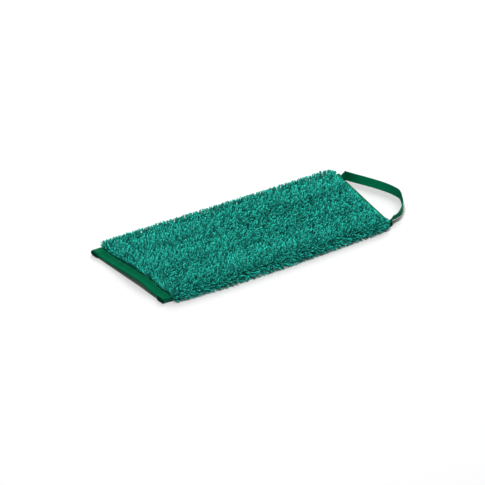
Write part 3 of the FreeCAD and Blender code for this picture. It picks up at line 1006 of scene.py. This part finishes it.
# Painted shade on the tape along its length, darkest at both roots and at its bend
LOOP_SHADE_SHARES = (0.0, 0.15, 0.2, 0.25, 0.4, 0.52, 0.56, 0.7, 1.0)
LOOP_PAINTED_SHADE = (0.7, 0.6, 0.3, 0.0, 0.0, 0.35, 0.5, 0.3, 0.5)


def tape_outline():
    """The tape's cross-section as (across, thickness): rounded selvedges, thicker than its middle."""
    half, thick = LOOP_WIDTH / 2, LOOP_THICKNESS / 2
    upper = []
    for share in np.linspace(-1, 1, 21):
        edge = smooth(abs(share), 0.8, 0.93) * (1 - smooth(abs(share), 0.95, 1.0))
        body = math.sqrt(max(0.0, 1 - abs(share) ** 14))
        upper.append((share * half, thick * body * (0.84 + 0.16 * edge)))
    return upper[:-1] + [(across, -z) for across, z in upper[::-1]][:-1]


def pull_loop():
    """The loop's tape: flat under one corner, up on its edge round the loop, and flat again."""
    distance, centres, wide, thin, _ = loop_frames()
    outline = np.array(tape_outline())
    sections = centres[:, None] + wide[:, None] * outline[None, :, :1]
    sections = sections + thin[:, None] * outline[None, :, 1:]
    vertices, faces = sweep(sections)
    tape = np.zeros(sections.shape)
    tape[..., 0] = distance[:, None] / MM
    tape[..., 1] = outline[None, :, 0] / MM
    # Painted shade along the tape, darkest at its roots and at its bend
    shade_along_tape = np.interp(distance / distance[-1], LOOP_SHADE_SHARES, LOOP_PAINTED_SHADE)
    painted_shade = np.repeat(shade_along_tape, len(outline))
    values = {"tape": tape.reshape(-1, 3), "painted_shade": painted_shade}
    made = new_object("pull_loop_tape", vertices, faces, LOOP_MATERIAL, values=values)
    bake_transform(made)
    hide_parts("pull_loop", "loop_root_front", "loop_root_back")
    return made


def loop_stitches():
    """The seam that closes the loop's folded tape, on its outer face near the lower edge."""
    distance, centres, wide, thin, past = loop_frames()
    first, last = distance[past > LOOP_STITCH_MARGIN][[0, -1]]
    spots = np.arange(first, last, LOOP_STITCH_PITCH)

    def at(values):
        return np.stack([np.interp(spots, distance, values[:, axis]) for axis in range(3)], -1)

    drop = at(wide) * (LOOP_WIDTH / 2 - LOOP_SEAM_OFFSET)
    outward = -unit(at(thin))
    on_face = at(centres) - drop + outward * LOOP_THICKNESS * LOOP_SEAM_HEIGHT
    directions = unit(np.cross(outward, at(wide)))
    length = LOOP_STITCH_LENGTH
    stitches("loop_edge_thread", on_face, directions, outward, length, "pull_loop", "loop_edge_stitches")


# ---------------------------------------------------------------- set


FLOOR_SIZE = 6.0
FLOOR_TONE = 0.66
WORLD_STRENGTH = 0.32
# Each light's place, size in metres and power in watts
LIGHTS = {"key": ((1.7, 1.65, 1.1), 2.3, 110), "top": ((-0.5, -0.2, 2.4), 0.4, 50)}


def floor():
    """A plain pale floor."""
    material = bpy.data.materials.new("floor_white")
    material.use_nodes = True
    shader = material.node_tree.nodes["Principled BSDF"]
    shader.inputs["Base Color"].default_value = (FLOOR_TONE, FLOOR_TONE, FLOOR_TONE, 1)
    shader.inputs["Roughness"].default_value = 0.9
    shader.inputs["Specular IOR Level"].default_value = 0.1
    size = FLOOR_SIZE
    points = [(-size, -size, 0), (size, -size, 0), (size, size, 0), (-size, size, 0)]
    new_object("stage_floor", np.array(points), [[0, 1, 2, 3]], material)


def studio():
    """An even white surround and two soft lights."""
    world = bpy.data.worlds.new("studio")
    bpy.context.scene.world = world
    world.use_nodes = True
    background = world.node_tree.nodes["Background"]
    background.inputs["Color"].default_value = (1, 1, 1, 1)
    background.inputs["Strength"].default_value = WORLD_STRENGTH
    for name, (place, size, power) in LIGHTS.items():
        area_light(name, place, size, power)


def area_light(name, place, size, power):
    """A square light that faces the origin."""
    light = bpy.data.lights.new(name, "AREA")
    light.size = size
    light.energy = power
    holder = bpy.data.objects.new(name, light)
    holder.location = place
    holder.rotation_mode = "QUATERNION"
    holder.rotation_quaternion = (-Vector(place)).to_track_quat("-Z", "Y")
    bpy.context.scene.collection.objects.link(holder)


CAMERA_AZIMUTH = -32.0
CAMERA_ELEVATION = 30.0
CAMERA_DISTANCE = 12.0
FRAME_WIDTH = 0.548
CAMERA_TARGET = (-0.0068, -0.0016, 0.0)


def camera():
    """A distant camera, so that the view is nearly parallel."""
    azimuth, elevation = math.radians(CAMERA_AZIMUTH), math.radians(CAMERA_ELEVATION)
    back = Vector((
        math.sin(azimuth) * math.cos(elevation),
        -math.cos(azimuth) * math.cos(elevation),
        math.sin(elevation),
    ))
    data = bpy.data.cameras.new("camera")
    data.sensor_width = 36.0
    data.lens = data.sensor_width * CAMERA_DISTANCE / FRAME_WIDTH
    data.clip_start, data.clip_end = 0.1, 50.0
    holder = bpy.data.objects.new("camera", data)
    holder.location = Vector(CAMERA_TARGET) + back * CAMERA_DISTANCE
    holder.rotation_mode = "QUATERNION"
    holder.rotation_quaternion = (-back).to_track_quat("-Z", "Y")
    bpy.context.scene.collection.objects.link(holder)
    bpy.context.scene.camera = holder


def build():
    """The whole scene: the set, then every piece of the pad."""
    camera()
    floor()
    studio()
    ground_cloth()
    backing_velour()
    absorbent_core()
    for number, node in enumerate(ROW_NODES):
        pile_row(number, node)
    for side, name in ((FRONT, "front"), (BACK, "back")):
        side_row(side, "pile_side_row_" + name)
        seam("hem_stitches_" + name)
    for end, name in ((LEFT, "left"), (RIGHT, "right")):
        binding(end, "binding_" + name)
        seam("binding_stitches_" + name, end)
    for name in ("front", "back"):
        seam("bar_tack_" + name)
    pull_loop()
    loop_stitches()
    bpy.context.scene.view_settings.view_transform = "Standard"


build()
